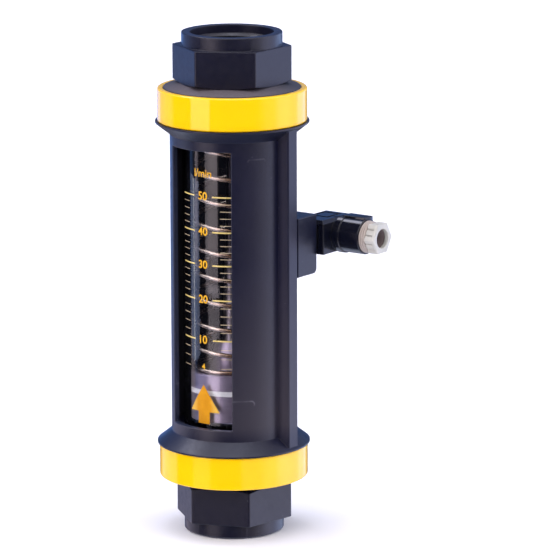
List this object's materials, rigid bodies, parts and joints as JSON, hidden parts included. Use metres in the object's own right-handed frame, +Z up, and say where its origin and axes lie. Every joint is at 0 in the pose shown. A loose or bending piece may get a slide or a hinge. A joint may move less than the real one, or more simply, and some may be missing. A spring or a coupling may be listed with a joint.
{
  "type": "rotameter",
  "caption": "Spring-loaded variable-area flow meter: windowed housing over a scaled glass tube with float, hexagon pipe connectors with yellow rings, and a sliding reed contact with elbow plug.",
  "frame": {"origin": "centre of the inlet connector's bottom face, on the tube's axis", "axes": "+Z up along the flow, window and scale face -Y, contact rail on +X"},
  "size_m": [0.082, 0.0673, 0.2],
  "materials": {
    "housing_plastic": "fine moulded texture",
    "connector_plastic": "fine moulded texture",
    "ring_yellow": "smooth moulded, satin gloss",
    "tube_glass": "clear borosilicate glass",
    "seal_rubber": "moulded rubber",
    "dark_plastic": "smooth moulded",
    "steel": "turned stainless steel",
    "spring_steel": "drawn spring wire",
    "float_grey": "turned, satin",
    "magnet": "sintered ferrite",
    "mark_white": "turned, satin",
    "switch_plastic": "fine moulded texture",
    "reed_glass": "clear green glass",
    "board_green": "lacquered board",
    "pin_brass": "gold-plated brass",
    "plug_gloss": "polished moulded",
    "gland_white": "smooth moulded nylon"
  },
  "bodies": {
    "root": {"housing": "housing_plastic", "inlet_connector": "connector_plastic", "outlet_connector": "connector_plastic", "lower_ring": "ring_yellow", "upper_ring": "ring_yellow", "glass_tube": "tube_glass", "lower_tube_gasket": "seal_rubber", "upper_tube_gasket": "seal_rubber", "lower_o_ring": "seal_rubber", "upper_o_ring": "seal_rubber", "rod_support": "dark_plastic", "spring_seat": "dark_plastic", "metering_rod": "steel", "rod_nut": "steel", "rod_end_nut": "steel", "spring": "spring_steel"},
    "float": {"float_body": "float_grey", "orifice_ring": "steel", "float_magnet": "magnet", "magnet_cap": "float_grey", "reading_ring": "mark_white"},
    "switch": {"switch_housing": "switch_plastic", "switch_back": "switch_plastic", "reed_switch": "reed_glass", "circuit_board": "board_green", "socket_insert": "dark_plastic", "contact_pins": "pin_brass", "clamp_screw": "steel", "plug_gasket": "seal_rubber", "plug_body": "plug_gloss", "plug_insert": "dark_plastic", "plug_screw": "steel", "gland_ring": "gland_white", "gland_seal": "seal_rubber", "gland_nut": "gland_white"}
  },
  "joints": [
    {"name": "float_slide", "type": "slide", "parent": "root", "child": "float", "axis": [0, 0, 1], "range_m": [0, 0.0795], "stiffness_N_per_m": 50, "springref_m": -0.015, "deforming": ["spring"]},
    {"name": "switch_slide", "type": "slide", "parent": "root", "child": "switch", "axis": [0, 0, 1], "range_m": [-0.058, 0.026]}
  ]
}
